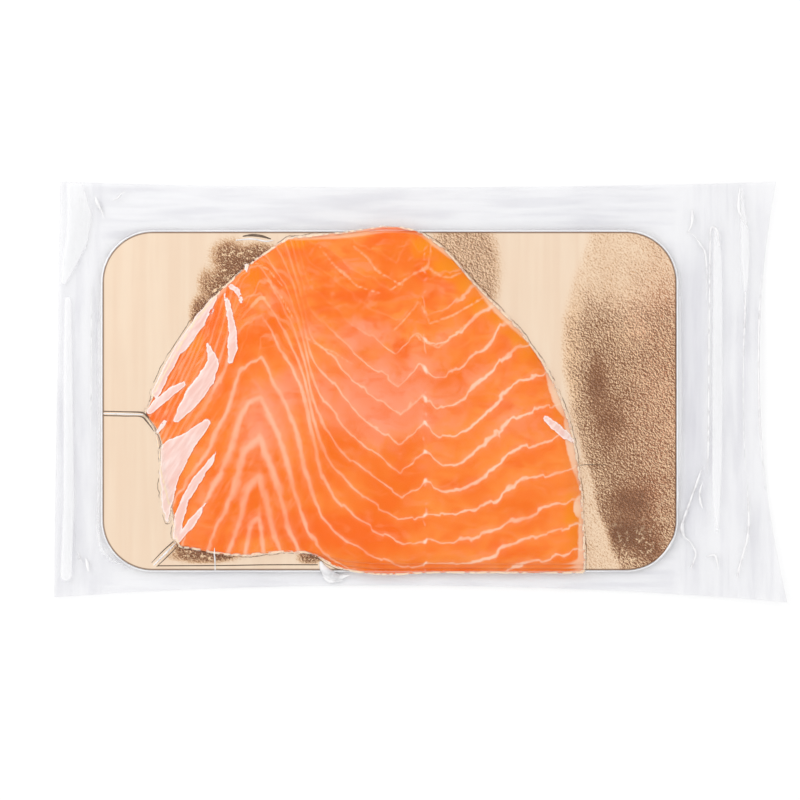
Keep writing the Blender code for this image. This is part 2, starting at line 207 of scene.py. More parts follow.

# Folds: creases of the film, by the same kind of stroke. Bright ones carry a painted highlight where they
# catch the light, dark ones a painted shade
BRIGHT_FOLDS = (
    ((-126.6, -8.6, 0.2), (-118.2, -8.8, 0.3), (-110.6, -9.0, 0.2)),
    ((-97.4, -60.0, 0.2), (-101.8, -64.4, 0.4), (-106.6, -69.2, 0.2)),
    ((-82.0, -62.0, 0.1), (-82.1, -65.6, 0.3), (-82.0, -71.2, 0.2)),
    ((-73.8, 60.6, 0.2), (-67.4, 61.1, 0.3), (-61.8, 60.2, 0.3), (-58.6, 60.6, 0.1)),
    (
        (-40.0, -67.6, 0.4), (-39.0, -70.0, 1.4), (-37.4, -72.2, 2.2), (-35.0, -73.6, 2.0),
        (-32.2, -74.0, 1.2), (-28.4, -73.2, 0.2),
    ),
    ((-39.0, -72.4, 0.5), (-37.4, -74.8, 0.9), (-35.0, -75.8, 0.6), (-31.0, -75.2, 0.2)),
    (
        (115.7, 65.6, 0.2), (115.6, 52.8, 0.3), (115.4, 24.8, 0.3), (115.2, -3.2, 0.3),
        (115.0, -23.2, 0.3), (114.6, -32.8, 0.1),
    ),
    (
        (106.6, 64.0, 0.1), (109.8, 62.0, 0.3), (112.2, 58.4, 0.4), (113.8, 55.2, 0.4),
        (114.4, 47.2, 0.2), (114.2, 36.8, 0.1),
    ),
    ((108.6, 72.8, 0.2), (108.7, 70.0, 0.7), (108.2, 66.4, 0.4), (106.6, 63.6, 0.1)),
    ((115.8, 60.8, 0.2), (115.9, 64.8, 0.3), (117.0, 66.0, 0.4), (118.4, 64.0, 0.4), (119.2, 58.4, 0.2)),
    ((127.6, 81.4, 0.2), (127.2, 78.4, 0.4), (127.0, 73.6, 0.6), (128.0, 70.0, 0.3), (130.6, 65.6, 0.2)),
    ((129.8, 40.0, 0.2), (129.6, 30.8, 0.4), (129.0, 12.8, 0.2), (129.0, -11.2, 0.2), (129.8, -31.2, 0.1)),
    (
        (130.4, -35.2, 0.1), (131.1, -47.2, 0.4), (130.8, -57.2, 0.5), (129.0, -64.4, 0.4),
        (127.2, -70.8, 0.4), (126.4, -74.8, 0.2),
    ),
    ((136.4, 46.8, 0.1), (135.1, 24.8, 0.3), (135.1, -3.2, 0.3), (136.3, -23.2, 0.2), (137.8, -39.2, 0.1)),
    (
        (112.6, -30.0, 0.1), (110.6, -36.0, 0.5), (108.4, -42.0, 0.4), (106.6, -47.2, 0.5),
        (105.0, -51.6, 0.6), (104.6, -54.8, 0.8), (105.6, -58.0, 0.5), (107.8, -60.0, 0.3),
        (110.0, -64.0, 0.4), (109.4, -67.2, 0.3), (108.2, -70.4, 0.4),
    ),
    ((113.0, -35.6, 0.1), (111.6, -40.0, 0.4), (112.0, -44.4, 0.4), (112.8, -46.4, 0.2)),
    ((114.2, -66.0, 0.2), (116.2, -65.2, 0.4), (117.8, -65.4, 0.5), (118.6, -68.0, 0.4), (119.1, -70.8, 0.2)),
    ((93.6, -67.8, 0.2), (95.8, -66.0, 0.4), (97.8, -63.8, 0.4), (99.6, -61.0, 0.4), (101.4, -57.6, 0.2)),
    ((-123.0, 76.6, 0.2), (-120.8, 77.6, 0.4), (-119.8, 79.0, 0.3), (-118.0, 80.0, 0.2)),
    ((-130.0, 78.0, 0.3), (-129.0, 75.2, 0.8), (-127.6, 72.6, 0.4), (-126.6, 70.0, 0.2)),
    ((-133.8, -66.4, 0.2), (-133.2, -68.8, 0.7), (-132.7, -71.6, 0.4)),
    ((-136.8, -64.4, 0.2), (-136.2, -66.4, 0.4), (-135.4, -68.0, 0.1)),
    ((-131.7, 43.2, 0.1), (-131.6, 24.8, 0.2), (-131.6, 4.8, 0.2), (-132.0, -15.2, 0.1)),
)
DARK_FOLDS = (
    (
        (-126.6, -7.7, 0.2), (-118.2, -7.9, 0.2), (-111.0, -8.2, 0.3), (-109.0, -9.6, 0.4),
        (-108.2, -10.8, 0.1),
    ),
    (
        (-126.6, -9.4, 0.2), (-118.2, -9.6, 0.2), (-111.8, -9.8, 0.2), (-109.4, -11.6, 0.3),
        (-106.2, -15.8, 0.1),
    ),
    ((-98.6, -59.6, 0.2), (-103.0, -63.6, 0.2), (-107.4, -68.2, 0.1)),
    ((-96.6, -61.2, 0.1), (-100.8, -65.4, 0.2), (-105.4, -69.8, 0.1)),
    ((-105.0, -69.4, 0.2), (-80.2, -69.3, 0.2), (-60.2, -69.0, 0.2), (-41.0, -69.0, 0.2)),
    ((-71.0, 62.2, 0.2), (-67.4, 62.6, 0.5), (-63.4, 62.2, 0.5), (-59.8, 61.1, 0.2)),
    ((63.4, -29.2, 0.1), (68.2, -29.0, 0.12), (74.2, -29.2, 0.05)),
)

# How flat a fold lies on the film, the least half width of a fold, and the depth that stands for
# far outside every stroke, both in millimetres
FOLD_FLATNESS = 0.5
FINEST_FOLD = 0.05
FAR_OUTSIDE = -20.0

# Parts of the slices: where the lines peak, where they crowd together, the broad arches to the
# left of that, and the finer lines that cross them. Each spot is x, y, reach along x, reach along
# y, in millimetres, and strength
PEAK_X = 1.8
BUNDLE_X = -45.0
ARCHES = ((-66, -30, 26, 40, 1.0),)
CROSSING = ((-58, 36, 26, 22, 1.0),)

# Tones: where the flesh turns to another colour, by the same kind of spot
RIGHT_RIM = ((28, 36, 28, 28, 1.0),)
PINK_SPOTS = (
    (-14, -3, 30, 22, 1.0), (-36, -3, 14, 16, 0.7), (-63, -11, 12, 20, 0.9),
    (-68, 33, 8, 9, 0.35), (32, 25, 12, 12, 0.6), (40, -11, 16, 14, 0.5), (-88, -43, 10, 20, 0.5),
    (10, 20, 12, 10, 0.5), (-44, 26, 10, 8, 0.5), (-22, 22, 14, 8, 0.9), (9, 42, 6, 6, 0.6),
    (-30, 50, 10, 4, 0.5), (-60, 36, 5, 6, 0.6), (24, 8, 12, 7, 0.5), (-84, 2, 6, 8, 0.5),
    (-53, 1, 8, 10, 0.9), (-68, -10, 8, 10, 0.6),
)
DEEP_SPOTS = (
    (-28, -55, 34, 10, 0.9), (-48, -55, 16, 10, 0.9), (-23, 38, 22, 3, 1.0), (4, 37, 5, 8, 0.8),
    (-102, -9, 8, 5, 0.9), (-84, 25, 8, 14, 0.8), (-8, -33, 12, 8, 0.6), (50, -31, 8, 10, 0.3),
    (32, -61, 22, 8, 0.6), (-62, 46, 18, 12, 0.6), (-78, -58, 12, 7, 0.7), (-22, 58, 20, 6, 0.5),
    (-70, 14, 10, 6, 0.5), (-8, 17, 4, 6, 0.9), (1, 47, 4, 9, 0.8), (30, -5, 10, 4, 0.7),
    (45, 6, 8, 4, 0.8), (16, -36, 12, 4, 0.7), (38, -28, 9, 4, 0.6), (20, 28, 6, 4, 0.6),
    (-50, 14, 5, 6, 0.5), (-36, 32, 8, 4, 0.7), (-52, 56, 12, 5, 0.7), (-16, 60, 12, 5, 0.7),
    (-67, -53, 9, 7, 1.2), (-54, -50, 6, 6, 0.9),
)
GOLD_SPOTS = (
    (6, 58, 12, 5, 1.0), (14, 50, 10, 7, 1.0), (26, 37, 9, 8, 1.0), (36, 27, 8, 7, 1.0),
    (44, 17, 7, 8, 0.9), (56, -3, 5, 18, 0.6), (-70, 46, 10, 8, 0.5), (-52, 60, 12, 4, 0.8),
    (60, -51, 5, 14, 0.7), (-64, 57, 14, 4, 0.5), (-90, 19, 6, 9, 0.5),
)
RIM_SPOTS = (
    (56, 1, 6, 9, 1.0), (62, -20, 6, 12, 0.8), (65, -62, 5, 14, 0.5), (34, 34, 14, 14, 0.40),
    (10, 58, 10, 5, 0.36), (-84, 30, 14, 22, 0.25), (-38, 64, 22, 5, 0.25), (62, -46, 3, 4, 0.7),
)
# The foil: spots of painted dark reflection beside the slices, tan above them and dark at the right, and
# where it turns to copper or shows painted glints. Its crumpled right part, darkened by painted reflection,
# begins at these x, for these y
SHADE_SPOTS = (
    (-72, 48, 8, 7, 1.0), (-79, 40, 6, 8, 0.95), (-66, 53, 9, 5, 0.95), (-87, 31, 4, 7, 0.8),
    (-76, 54, 7, 6, 0.6), (-85, 42, 4, 8, 0.4),
    (-86, -65, 11, 2.4, 1.0), (-92, -62, 6, 2.2, 0.9), (-44, -66, 4, 1.8, 1.0),
)
TAN_SPOTS = ((16, 56, 9, 14, 0.50), (22, 46, 7, 13, 0.50), (20, 50, 8, 14, 0.2))
RIGHT_SHADE_SPOTS = (
    (70, 5, 9, 23, 0.88), (75, -14, 11, 14, 0.74), (82, -43, 17, 13, 0.88), (83, -57, 16, 12, 1.00),
    (92, -63, 9, 7, 0.9), (95, -36, 11, 20, 0.52), (77, -27, 11, 8, 0.50), (68, 28, 7, 8, 0.30),
    (92, 2, 16, 30, 0.50), (98, 26, 9, 18, 0.40), (78, 16, 10, 9, 0.25), (84, -4, 8, 16, 0.40),
)
COPPER_SPOTS = ((98, -6, 14, 46, 1.0), (90, 24, 10, 14, 0.7))
GLINT_SPOTS = ((86, -63, 13, 8, 1.0), (74, -52, 7, 12, 0.5), (94, -52, 6, 10, 0.6))
RIGHT_EDGE_Y = (-72.0, -68.0, -63.0, -54.0, -48.0, -37.0, -30.0, -23.0, -10.0, 10.0, 30.0, 45.0, 60.0)
RIGHT_EDGE_X = (79.0, 78.0, 75.5, 73.0, 70.0, 68.0, 66.0, 64.0, 60.5, 58.0, 58.5, 62.0, 68.0)
BOARD_CELL = 1.2 * MM
BOARD_CORNER = 20.0 * MM

# The foil's crumple: how many wrinkles stand in a metre, how they lean, and how far beside a
# wrinkle its lit side is read, which paints a highlight on one side of each wrinkle and shade on the other
WRINKLES = 980
FINE_WRINKLES = 860
WRINKLE_LEAN = -0.5
LIGHT_STEP = (0.07 * MM, 0.16 * MM, 0.0)

# The film: where it hangs loose beside the salmon, by the same kind of spot, which way its painted milky
# highlight is brushed, and in millimetres the middle and half length of its lengthwise
# streaks and the place of the channel along the board's right end
LOOSE_SPOTS = ((-102, -26, 9, 22, 2.4), (-97, -52, 6, 10, 1.2))
BRUSH_LEAN = 0.95
STREAK_MIDDLE = -12.4
STREAK_HALF = 110
CHANNEL_X = 109

# Camera, floor and light: the camera is straight above the pack and sees 320 mm of it, and the
# light stands to its left
VIEW_CENTRE = (-8.2 * MM, -3.2 * MM)
VIEW_WIDTH = 320.0 * MM
LENS = 100.0
SENSOR = 36.0
FLOOR_DROP = 0.6 * MM
FLOOR_SIZE = 4.0
FLOOR_TONES = ((0.93, 0.93, 0.93, 1.0), (0.95, 0.95, 0.95, 1.0))
SOFTBOX_PLACE = (-1.0, 0.7, 1.0)
SOFTBOX_SIZE = 0.8
SOFTBOX_POWER = 5.0


def linear(red, green, blue):
    """A screen colour of 0 to 255 as the linear colour that materials hold."""
    channels = []
    for level in (red, green, blue):
        share = level / 255
        channels.append(share / 12.92 if share <= 0.04045 else ((share + 0.055) / 1.055) ** 2.4)
    return (*channels, 1.0)


def palette(screen_colours):
    """Screen colours by name, each as the linear colour that materials hold."""
    return {name: linear(*colour) for name, colour in screen_colours.items()}


# Colours: of the flesh and its lines, the foil, and the film
FLESH = palette({
    "orange": (245, 113, 10),
    "light orange": (251, 144, 58),
    "pink": (250, 155, 118),
    "deep": (246, 103, 14),
    "dark blotch": (247, 103, 18),
    "pale blotch": (251, 151, 102),
    "gold": (248, 142, 2),
    "under a line": (250, 110, 20),
    "strand": (253, 166, 120),
    "halo": (254, 160, 116),
    "crossing line": (253, 164, 118),
    "line": (255, 206, 174),
    "arch line": (254, 190, 158),
    "faint line": (254, 194, 150),
    "peak": (255, 220, 196),
    "rim": (254, 224, 192),
})
# Of the foil's colours, tan, brown and bronze are painted dark reflections, the glint is a painted highlight
# and the contact colour a painted contact shadow
FOIL = palette({
    "cream": (245, 219, 192),
    "light cream": (249, 226, 200),
    "crumpled cream": (247, 210, 168),
    "tan": (216, 174, 134),
    "copper tan": (236, 165, 126),
    "brown": (166, 120, 88),
    "copper brown": (197, 128, 95),
    "bronze": (126, 84, 60),
    "glint": (253, 222, 182),
    "edge": (112, 76, 52),
    "contact_shadow": (86, 54, 32),
})
# Of the film's colours, those of the seals, the milky patches and the bead along the slices' rim are painted
# highlights
FILM = palette({
    "haze": (250, 250, 252),
    "streak": (186, 184, 198),
    "channel": (190, 188, 202),
    "seal": (252, 252, 253),
    "glare": (254, 220, 210),
    "white glare": (255, 240, 234),
    "rim_glint": (255, 232, 198),
})
CLEAR_TINT = (0.978, 0.978, 0.982, 1.0)

# Folds: the colours they run between, and the least and most that hides what is under them
# The bright folds' colours are a painted highlight, the dark folds' a painted shade
FOLD = {
    "bright": (linear(240, 238, 240), linear(255, 255, 255), 0.55, 0.92),
    "dark": (linear(70, 54, 42), linear(120, 96, 76), 0.55, 0.80),
}


class Value:
    """A number or colour from a material's nodes, on which plain arithmetic adds Math nodes."""

    def __init__(self, finish, socket):
        self.finish = finish
        self.socket = socket

    def math(self, operation, *others):
        terms = dict(enumerate((self, *others)))
        return self.finish.node("ShaderNodeMath", {"operation": operation}, terms)

    def __add__(self, other):
        return self.math("ADD", other)

    def __mul__(self, other):
        return self.math("MULTIPLY", other)

    def __sub__(self, other):
        return self.math("SUBTRACT", other)

    def __truediv__(self, other):
        return self.math("DIVIDE", other)

    def __rsub__(self, other):
        return self.finish.node("ShaderNodeMath", {"operation": "SUBTRACT"}, {0: other, 1: self})

    def __abs__(self):
        return self.math("ABSOLUTE")

    __radd__ = __add__

    def fraction(self):
        return self.math("FRACT")

    def at_least(self, other):
        return self.math("MAXIMUM", other)

    def at_most(self, other):
        return self.math("MINIMUM", other)

    def fade(self, low, high):
        """Rises smoothly from 0 at low to 1 at high, and falls where low is the greater."""
        return self.finish.node(
            "ShaderNodeMapRange",
            {"interpolation_type": "SMOOTHSTEP"},
            {"Value": self, "From Min": low, "From Max": high},
        )


class Finish:
    """A material, and the one way in which its nodes are made."""

    def __init__(self, name):
        self.material = bpy.data.materials.new(name)
        self.material.use_nodes = True
        self.tree = self.material.node_tree
        self.tree.nodes.clear()
        self.output = self.tree.nodes.new("ShaderNodeOutputMaterial")

    def node(self, kind, settings=None, inputs=None, output=0):
        made = self.tree.nodes.new(kind)
        for name, setting in (settings or {}).items():
            setattr(made, name, setting)
        for name, value in (inputs or {}).items():
            self.feed(made.inputs[name], value)
        return Value(self, made.outputs[output])

    def feed(self, socket, value):
        if isinstance(value, Value):
            self.tree.links.new(value.socket, socket)
        else:
            socket.default_value = value

    def place(self):
        """Where a point of the piece is, in metres."""
        return self.node("ShaderNodeTexCoord", output="Object")

    def attribute(self, name):
        return self.node("ShaderNodeAttribute", {"attribute_name": name}, output="Fac")

    def scaled(self, x, y, z, turn=0.0):
        """The place, stretched by its own scale along each axis, and turned about Z first."""
        inputs = {"Vector": self.place(), "Rotation": (0.0, 0.0, turn), "Scale": (x, y, z)}
        return self.node("ShaderNodeMapping", {"vector_type": "TEXTURE" if turn else "POINT"}, inputs)

    def noise(self, scale, detail=3.0, roughness=0.5, distortion=0.0, vector=None):
        inputs = {
            "Vector": vector or self.place(),
            "Scale": scale,
            "Detail": detail,
            "Roughness": roughness,
            "Distortion": distortion,
        }
        return self.node("ShaderNodeTexNoise", None, inputs)

    def facets(self, scale, vector):
        """The distance to the middle of the nearest cell: a field of cones with sharp valleys."""
        inputs = {"Vector": vector, "Scale": scale, "Detail": 2.0, "Roughness": 0.6}
        return self.node("ShaderNodeTexVoronoi", None, inputs, output="Distance")

    def mix(self, factor, first, second):
        """Two colours mixed: the first where factor is 0, the second where it is 1."""
        colours = {0: factor, 6: first, 7: second}
        return self.node("ShaderNodeMix", {"data_type": "RGBA"}, colours, output=2)

    def layered(self, colours, ground, layers):
        """The ground colour with others laid over it in turn, each as far as its share."""
        colour = colours[ground]
        for name, share in layers.items():
            colour = self.mix(share, colour, colours[name])
        return colour

    def bump(self, height, distance, strength):
        inputs = {"Height": height, "Distance": distance, "Strength": strength}
        return self.node("ShaderNodeBump", None, inputs)

    def axes(self):
        """The place's x and y, each as a number in millimetres."""
        scaled = self.node(
            "ShaderNodeVectorMath", {"operation": "SCALE"}, {0: self.place(), "Scale": 1 / MM}
        )
        split = self.tree.nodes.new("ShaderNodeSeparateXYZ")
        self.feed(split.inputs[0], scaled)
        return Value(self, split.outputs["X"]), Value(self, split.outputs["Y"])

    def principled(self, **inputs):
        named = {name.replace("_", " "): value for name, value in inputs.items()}
        return self.node("ShaderNodeBsdfPrincipled", None, named)

    def show(self, shader):
        self.feed(self.output.inputs["Surface"], shader)
        return self.material


def flat_grid(name, columns, rows, low, high):
    """A flat grid of square cells between two corners, at z = 0."""
    bpy.ops.object.select_all(action="DESELECT")
    middle = ((low[0] + high[0]) / 2, (low[1] + high[1]) / 2, 0.0)
    bpy.ops.mesh.primitive_grid_add(
        x_subdivisions=columns, y_subdivisions=rows, size=1.0, location=middle
    )
    grid = bpy.context.object
    grid.name = name
    grid.data.name = name
    grid.scale = (high[0] - low[0], high[1] - low[1], 1.0)
    bpy.ops.object.transform_apply(location=True, rotation=False, scale=True)
    return grid


def places(piece):
    """The piece's vertices, one row of x, y and z for each."""
    flat = np.empty(len(piece.data.vertices) * 3)
    piece.data.vertices.foreach_get("co", flat)
    return flat.reshape(-1, 3)


def put(piece, points):
    piece.data.vertices.foreach_set("co", points.ravel())
    piece.data.update()


def chosen(items):
    """Which vertices, edges or faces of a mesh are selected."""
    flags = np.empty(len(items), bool)
    items.foreach_get("select", flags)
    return flags


def attach(piece, **fields):
    """Stores one number for each vertex under each name, which the piece's material reads."""
    for name, numbers in fields.items():
        layer = piece.data.attributes.new(name, "FLOAT", "POINT")
        layer.data.foreach_set("value", np.asarray(numbers, np.float32))


@contextmanager
def edit_mode():
    """Edit mode for the steps inside it, and object mode again after them."""
    bpy.ops.object.mode_set(mode="EDIT")
    yield
    bpy.ops.object.mode_set(mode="OBJECT")


def thicken_down(piece, depth):
    """Closes a flat sheet into a solid, and tells which of its vertices are the lower ones."""
    with edit_mode():
        bpy.ops.mesh.select_all(action="SELECT")
        bpy.ops.mesh.extrude_region_move(TRANSFORM_OT_translate={"value": (0.0, 0.0, -depth)})
    lower = chosen(piece.data.vertices)
    with edit_mode():
        bpy.ops.mesh.select_all(action="SELECT")
        bpy.ops.mesh.normals_make_consistent(inside=False)
    return lower


def smooth_share(value):
    share = np.clip(value, 0.0, 1.0)
    return share * share * (3.0 - 2.0 * share)


def rising(value, start, width):
    """Rises smoothly from 0 at start to 1 a width further on."""
    return smooth_share((value - start) / width)


def near(value, middle, reach):
    return np.exp(-(((value - middle) / reach) ** 2))


def rim_of(node):
    """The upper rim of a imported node, as a ring of x, y rows in order."""
    shape = bmesh.new()
    shape.from_mesh(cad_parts[node].data)
    bmesh.ops.remove_doubles(shape, verts=shape.verts, dist=MERGE)
    follows = {}
    for edge in shape.edges:
        if sum(face.normal.z > 0.5 for face in edge.link_faces) == 1:
            one, other = edge.verts
            follows.setdefault(one, []).append(other)
            follows.setdefault(other, []).append(one)
    here = next(iter(follows))
    ring = []
    seen = set()
    while here is not None:
        seen.add(here)
        ring.append(here.co[:2])
        here = next((vertex for vertex in follows[here] if vertex not in seen), None)
    shape.free()
    return np.array(ring)


def against(ring, points):
    """How far inside a ring each point is, negative outside it, and the ring's nearest point."""
    distance = np.full(len(points), np.inf)
    nearest = np.zeros((len(points), 2))
    inside = np.zeros(len(points), bool)
    for start, end in zip(ring, np.roll(ring, -1, axis=0)):
        side = end - start
        share = np.clip((points - start) @ side / (side @ side), 0.0, 1.0)
        foot = start + share[:, None] * side
        gap = np.hypot(*(points - foot).T)
        closer = gap < distance
        distance[closer] = gap[closer]
        nearest[closer] = foot[closer]
        if start[1] != end[1]:
            spans = (start[1] > points[:, 1]) != (end[1] > points[:, 1])
            crossing = start[0] + (points[:, 1] - start[1]) / side[1] * side[0]
            inside ^= spans & (points[:, 0] < crossing)
    return np.where(inside, distance, -distance), nearest


RIMS = {name: rim_of(name) for name in SLICES}
STACK_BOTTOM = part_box("slice_bottom")[0].z
BOARD_LOW, BOARD_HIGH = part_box("board")
BOARD_MIDDLE = [(low + high) / 2 for low, high in zip(BOARD_LOW, BOARD_HIGH)]
BOARD_STRAIGHT = [(high - low) / 2 - BOARD_CORNER for low, high in zip(BOARD_LOW, BOARD_HIGH)]


def smooth_run(points):
    """A smooth line through points, each stretch of it cut into the same number of steps."""
    padded = np.vstack((2 * points[0] - points[1], points, 2 * points[-1] - points[-2]))
    line = []
    for before, start, end, after in zip(padded, padded[1:], padded[2:], padded[3:]):
        for t in np.arange(CURVE_STEPS) / CURVE_STEPS:
            line.append(
                start
                + 0.5 * t * (end - before)
                + t**2 * (before - 2.5 * start + 2 * end - 0.5 * after)
                + t**3 * (1.5 * (start - end) + 0.5 * (after - before))
            )
    line.append(points[-1])
    return np.array(line)


def through_stations(stations):
    """A line through stations: smooth along each stretch, and sharp at the corners."""
    edges = (0, *CORNERS, len(stations) - 1)
    points = np.array(stations) * MM
    return np.vstack([smooth_run(points[a : b + 1]) for a, b in zip(edges, edges[1:])])


def line_numbers():
    """The number of the fat line at each point of a raster, and how steeply the number rises."""
    keys = sorted(FAT_LINES)
    curves = {key: through_stations(FAT_LINES[key]) for key in keys}
    numbers = np.arange(FIRST_LINE, LAST_LINE + LINE_STEP, LINE_STEP)
    heights = []
    for number in numbers:
        first = max([i for i, key in enumerate(keys[:-1]) if key <= number], default=0)
        share = (number - keys[first]) / (keys[first + 1] - keys[first])
        line = curves[keys[first]] * (1 - share) + curves[keys[first + 1]] * share
        heights.append(np.interp(FIELD_COLUMNS, line[:, 0], line[:, 1]))
    heights = np.minimum.accumulate(np.array(heights), axis=0)
    falling = np.arange(len(numbers)) * LINE_FALL
    field = np.empty((len(FIELD_ROWS), len(FIELD_COLUMNS)))
    for column in range(len(FIELD_COLUMNS)):
        descent = heights[:, column] - falling
        field[:, column] = np.interp(FIELD_ROWS, descent[::-1], numbers[::-1])
    slope_y, slope_x = np.gradient(field, FIELD_CELL / MM)
    return field, np.hypot(slope_x, slope_y)


def read_raster(raster, points):
    """The raster's value at each point, blended from the four cells round it."""
    column = np.clip((points[:, 0] - FIELD_LOW[0]) / FIELD_CELL, 0, raster.shape[1] - FIELD_END)
    row = np.clip((points[:, 1] - FIELD_LOW[1]) / FIELD_CELL, 0, raster.shape[0] - FIELD_END)
    left = column.astype(int)
    below = row.astype(int)
    across = column - left
    up = row - below
    low = raster[below, left] * (1 - across) + raster[below, left + 1] * across
    high = raster[below + 1, left] * (1 - across) + raster[below + 1, left + 1] * across
    return low * (1 - up) + high * up


FIELD_COLUMNS = np.arange(FIELD_LOW[0], FIELD_HIGH[0], FIELD_CELL)
FIELD_ROWS = np.arange(FIELD_LOW[1], FIELD_HIGH[1], FIELD_CELL)
FIELD_POINTS = np.stack(np.meshgrid(FIELD_COLUMNS, FIELD_ROWS), axis=-1)
LINE_NUMBER, LINE_SLOPE = line_numbers()
DEPTHS = {
    name: against(rim, FIELD_POINTS.reshape(-1, 2))[0].reshape(FIELD_POINTS.shape[:2])
    for name, rim in RIMS.items()
}


def salmon_depth(points):
    """How far inside the slices' common outline each point is, in millimetres."""
    return np.max([read_raster(raster, points) for raster in DEPTHS.values()], axis=0) / MM


def spots(points, table, add=False):
    """The strongest of the spots at each point, or all added: each fades out round its middle."""
    strongest = np.zeros(len(points))
    for x, y, reach_x, reach_y, strength in table:
        across = (points[:, 0] / MM - x) / reach_x
        up = (points[:, 1] / MM - y) / reach_y
        share = strength * np.exp(-(across**2) - up**2)
        strongest = strongest + share - strongest * share if add else np.maximum(strongest, share)
    return strongest


def thickness_share(points):
    """A slice's thickness as a share of its full one: thin at the rim and to the left."""
    to_left = smooth_share((TAPER_TURN + TAPER_BLEND - points[:, 0]) / (2 * TAPER_BLEND))
    taper = TAPER_RIGHT + (TAPER_LEFT - TAPER_RIGHT) * to_left
    inside = np.maximum(read_raster(DEPTHS["slice_middle"], points), 0.0)
    return RIM_SHARE + (1 - RIM_SHARE) * np.sin(np.minimum(inside / taper, 1.0) * math.pi / 2)


def slice_heights(level, points, inside):
    """The lower and upper surface of a slice, whose upper edge is rounded."""
    share = thickness_share(points)
    lower = STACK_BOTTOM + level * (SLICE_THICKNESS * share + SLICE_GAP)
    rounding = np.sqrt(1 - (1 - np.clip(inside / RIM_ROUND, 0.0, 1.0)) ** 2)
    upper = lower + SLICE_THICKNESS * share * (RIM_SQUARE + (1 - RIM_SQUARE) * rounding)
    ripple = np.cos(math.tau * read_raster(LINE_NUMBER, points))
    return lower, upper + LINE_RELIEF * ripple * rounding


def trim_to_rim(sheet, ring, cell):
    """Deletes the cells outside a ring and draws the border of the rest onto it."""
    inside = against(ring, places(sheet)[:, :2])[0]
    corners = np.empty(len(sheet.data.loops), int)
    sheet.data.loops.foreach_get("vertex_index", corners)
    outside = inside[corners.reshape(-1, 4)].min(axis=1) < -0.5 * cell
    with edit_mode():
        bpy.ops.mesh.select_mode(type="FACE")
    sheet.data.polygons.foreach_set("select", outside)
    with edit_mode():
        bpy.ops.mesh.delete(type="FACE")
        bpy.ops.mesh.select_mode(type="VERT")
        bpy.ops.mesh.select_all(action="DESELECT")
        bpy.ops.mesh.select_non_manifold()
    border = chosen(sheet.data.vertices)
    points = places(sheet)
    points[border, :2] = against(ring, points[border, :2])[1]
    put(sheet, points)
    with edit_mode():
        bpy.ops.mesh.select_all(action="SELECT")
        bpy.ops.mesh.remove_doubles(threshold=0.1 * cell)


def cut_sheet(name, ring, cell, depth):
    """A solid sheet in the shape of a ring, and which of its vertices are the lower ones."""
    low = ring.min(axis=0) - cell
    high = ring.max(axis=0) + cell
    columns, rows = np.ceil((high - low) / cell).astype(int)
    piece = flat_grid(name, int(columns), int(rows), low, high)
    trim_to_rim(piece, ring, cell)
    return piece, thicken_down(piece, depth)


def salmon_slice(level, node, finish):
    """One slice: a sheet cut to the node's rim, shaped, and given its fat lines."""
    piece, is_lower = cut_sheet(f"salmon_{node}", RIMS[node], SLICE_CELL, SLICE_THICKNESS)
    points = places(piece)
    flat = points[:, :2]
    inside = read_raster(DEPTHS[node], flat)
    lower, upper = slice_heights(level, flat, inside)
    points[:, 2] = np.where(is_lower, lower, upper)
    put(piece, points)
    x, y = flat.T / MM
    arches = spots(flat, ARCHES)
    right = rising(x, PEAK_X, 16)
    centre = rising(x, BUNDLE_X, 8) * (1 - right)
    peaks = near(x, PEAK_X, 1.3)
    upper_part = rising(y - 0.8 * np.maximum(x, 0), 14, 18)
    arms = near(x, 30, 17) * right
    bundle = near(x, BUNDLE_X, 8) * rising(y, 8, 20)
    flank = rising(-x, 80, 6) * rising(y, -24, 12)
    strength = (0.72 + 0.28 * arms - 0.10 * centre) * (1 - (0.62 + 0.24 * centre) * upper_part)
    right_rim = near(inside / MM, 0, 8) * spots(flat, RIGHT_RIM)
    attach(
        piece,
        line_number=read_raster(LINE_NUMBER, flat),
        line_slope=read_raster(LINE_SLOPE, flat),
        line_width=0.30 + 0.46 * arches + 0.10 * right + 0.30 * arms + 0.14 * peaks,
        line_strength=strength * (1 - 0.75 * bundle) * (1 - 0.6 * flank),
        arches=arches,
        peaks=peaks,
        flank=flank,
        crossing=spots(flat, CROSSING) * (1 - 0.85 * bundle),
        faint=stroke_depth(flat, FAINT_LINES),
        inside_rim=np.maximum(inside, 0.0) / MM,
        fat_rim=spots(flat, RIM_SPOTS),
        golden=np.maximum(right_rim, spots(flat, GOLD_SPOTS)),
        pink=spots(flat, PINK_SPOTS),
        deep=spots(flat, DEEP_SPOTS),
        patchy=0.4 + 0.3 * upper_part,
    )
    piece.data.shade_smooth()
    piece.data.materials.append(finish)
    return piece


def tone_layers(flesh, blotch):
    """The shares of the flesh's own tones, from its mottle up to the golden parts of its rim."""
    mottle = flesh.noise(42, 4.0, 0.6)
    stain = flesh.noise(95, 4.0, 0.62, 0.6) - 0.5
    blotchy = flesh.attribute("patchy") * 0.75
    return {
        "light orange": mottle.fade(0.34, 0.66),
        "pink": (flesh.attribute("pink") + stain * 1.4).fade(0.15, 0.95) * 0.95,
        "deep": (flesh.attribute("deep") + stain * 1.6).fade(0.30, 0.85) * 0.85,
        "dark blotch": blotch.fade(0.51, 0.62) * blotchy,
        "pale blotch": blotch.fade(0.47, 0.34) * blotchy,
        "gold": (flesh.attribute("golden") + stain * 1.4).fade(0.18, 0.70) * 0.9,
    }


